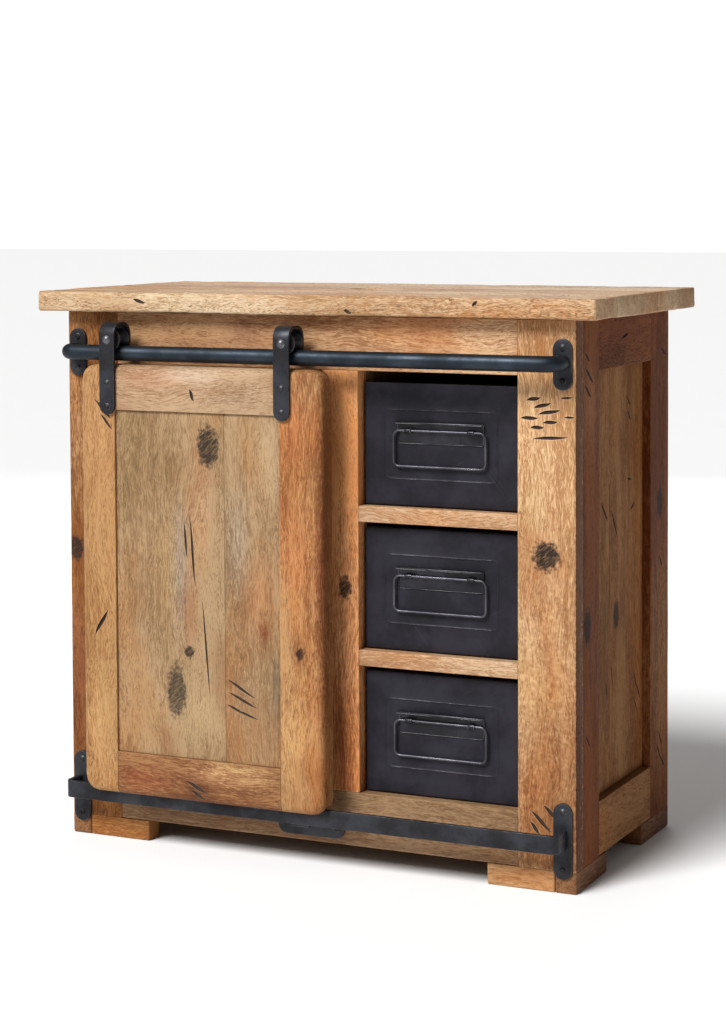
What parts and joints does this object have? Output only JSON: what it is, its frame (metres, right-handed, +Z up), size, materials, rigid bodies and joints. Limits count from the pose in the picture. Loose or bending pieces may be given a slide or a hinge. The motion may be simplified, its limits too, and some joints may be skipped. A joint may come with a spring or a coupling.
{
  "type": "bathroom vanity cabinet",
  "caption": "Free-standing wooden bathroom vanity cabinet with a sliding barn door on a round iron bar and a column of black steel drawers.",
  "frame": {"origin": "on the floor, under the centre of the whole cabinet's bounding box, hardware and top included", "axes": "+X to the right when facing the cabinet's front, +Y towards the back, +Z up"},
  "size_m": [0.7, 0.3824, 0.65],
  "materials": {
    "pale_wood": "satin lacquered mango wood, yellow-tan",
    "honey_wood": "satin lacquered mango wood, orange-brown",
    "russet_wood": "satin lacquered mango wood, reddish",
    "brown_wood": "satin lacquered mango wood, brown",
    "black_iron": "blackened wrought iron, worn at the edges",
    "bright_steel": "rubbed bright",
    "black_sheet_steel": "satin black with a violet cast, scuffed",
    "black_pull_steel": "satin black, rubbed bright at the edges"
  },
  "bodies": {
    "carcass": {"top_board_1": "pale_wood", "top_board_2": "pale_wood", "top_board_3": "pale_wood", "top_board_4": "pale_wood", "top_board_5": "pale_wood", "front_stile_left": "russet_wood", "front_stile_middle": "honey_wood", "front_stile_right": "honey_wood", "front_rail_top": "honey_wood", "front_rail_bottom": "pale_wood", "drawer_rails": "pale_wood", "side_left_post_front": "brown_wood", "side_left_post_back": "brown_wood", "side_left_rail_top": "brown_wood", "side_left_rail_bottom": "brown_wood", "side_left_panel": "brown_wood", "side_right_post_front": "brown_wood", "side_right_post_back": "brown_wood", "side_right_rail_top": "brown_wood", "side_right_rail_bottom": "brown_wood", "side_right_panel": "brown_wood", "back_rail_top": "honey_wood", "back_rail_bottom": "honey_wood", "back_panel": "pale_wood", "bottom_board": "honey_wood", "divider": "honey_wood", "drawer_wall": "honey_wood", "drawer_shelves": "honey_wood", "foot_front_left": "russet_wood", "foot_front_right": "russet_wood", "foot_back_left": "russet_wood", "foot_back_right": "russet_wood", "rail_bar": "black_iron", "rail_plates": "black_iron", "guide_bar": "black_iron", "guide_plates": "black_iron", "bracket_screws": "black_iron"},
    "door": {"door_stile_left": "pale_wood", "door_stile_right": "honey_wood", "door_rail_top": "pale_wood", "door_rail_bottom": "russet_wood", "door_panel": "pale_wood", "strap_left": "black_iron", "strap_right": "black_iron", "strap_screws": "black_iron", "roller_axles": "bright_steel"},
    "roller_left": {"roller_left": "black_iron"},
    "roller_right": {"roller_right": "black_iron"},
    "drawer_1": {"drawer_1_tray": "black_sheet_steel", "drawer_1_front": "black_sheet_steel", "drawer_1_pull_plate": "black_pull_steel"},
    "pull_1": {"drawer_1_ring": "black_pull_steel"},
    "drawer_2": {"drawer_2_tray": "black_sheet_steel", "drawer_2_front": "black_sheet_steel", "drawer_2_pull_plate": "black_pull_steel"},
    "pull_2": {"drawer_2_ring": "black_pull_steel"},
    "drawer_3": {"drawer_3_tray": "black_sheet_steel", "drawer_3_front": "black_sheet_steel", "drawer_3_pull_plate": "black_pull_steel"},
    "pull_3": {"drawer_3_ring": "black_pull_steel"}
  },
  "joints": [
    {"name": "door_slide", "type": "slide", "parent": "carcass", "child": "door", "axis": [-1, 0, 0], "range_m": [-0.27, 0.034]},
    {"name": "roller_left_spin", "type": "hinge", "parent": "door", "child": "roller_left", "pos_m": [-0.237, -0.16925, 0.5953], "axis": [0, 1, 0], "range_deg": [-285, 2225]},
    {"name": "roller_right_spin", "type": "hinge", "parent": "door", "child": "roller_right", "pos_m": [-0.011, -0.16925, 0.5953], "axis": [0, 1, 0], "range_deg": [-285, 2225]},
    {"name": "drawer_1_slide", "type": "slide", "parent": "carcass", "child": "drawer_1", "axis": [0, -1, 0], "range_m": [0, 0.2]},
    {"name": "pull_1_swing", "type": "hinge", "parent": "drawer_1", "child": "pull_1", "pos_m": [0.156, -0.13105, 0.498], "axis": [-1, 0, 0], "range_deg": [0, 90]},
    {"name": "drawer_2_slide", "type": "slide", "parent": "carcass", "child": "drawer_2", "axis": [0, -1, 0], "range_m": [0, 0.2]},
    {"name": "pull_2_swing", "type": "hinge", "parent": "drawer_2", "child": "pull_2", "pos_m": [0.156, -0.13105, 0.335], "axis": [-1, 0, 0], "range_deg": [0, 90]},
    {"name": "drawer_3_slide", "type": "slide", "parent": "carcass", "child": "drawer_3", "axis": [0, -1, 0], "range_m": [0, 0.2]},
    {"name": "pull_3_swing", "type": "hinge", "parent": "drawer_3", "child": "pull_3", "pos_m": [0.156, -0.13105, 0.172], "axis": [-1, 0, 0], "range_deg": [0, 90]}
  ],
  "couplings": [
    {"joint": "roller_left_spin", "follows": "door_slide", "rad_per_m": -142.86},
    {"joint": "roller_right_spin", "follows": "door_slide", "rad_per_m": -142.86}
  ]
}
